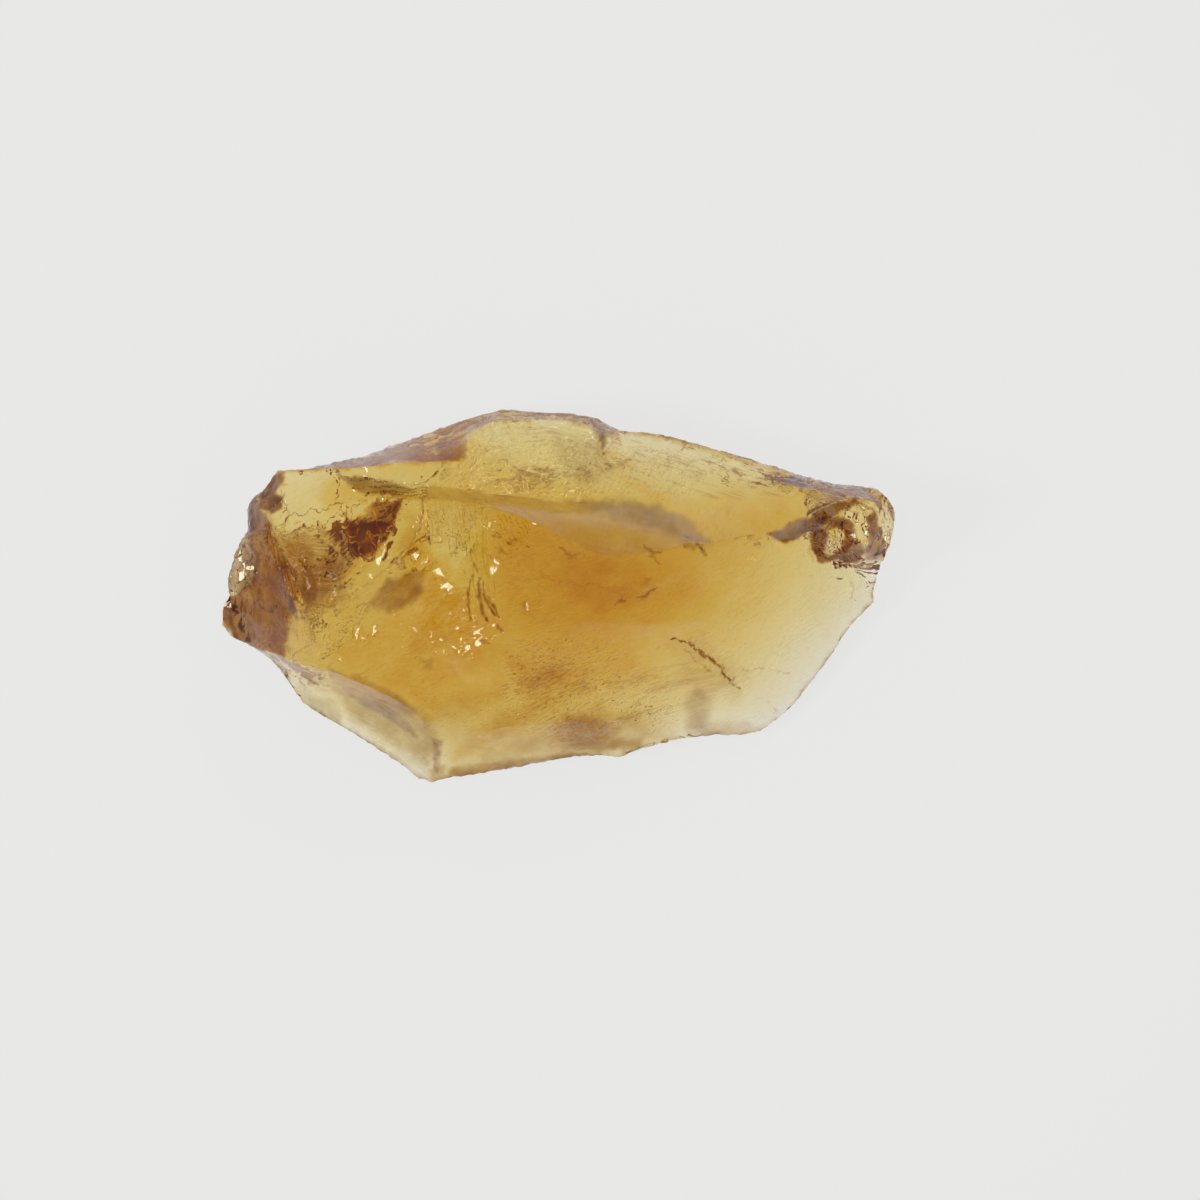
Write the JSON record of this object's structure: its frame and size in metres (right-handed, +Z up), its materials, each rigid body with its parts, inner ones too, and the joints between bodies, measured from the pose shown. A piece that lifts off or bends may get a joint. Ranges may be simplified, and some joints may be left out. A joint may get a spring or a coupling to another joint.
{
  "type": "raw citrine",
  "caption": "Rough chip of golden citrine quartz with fracture faces, a long steep scarp and thin pale edges, resting on a flat underside.",
  "frame": {"origin": "on the resting face, under the middle of the stone's box", "axes": "+X along the stone, towards its blunt narrow tip; +Y towards the long steep scarp's side; +Z up from the resting face"},
  "size_m": [0.0337, 0.0187, 0.0111],
  "materials": {
    "citrine": "glossy natural fracture, transparent golden yellow, darker where thick and nearly clear at thin edges"
  },
  "bodies": {
    "root": {"citrine": "citrine"}
  },
  "joints": []
}
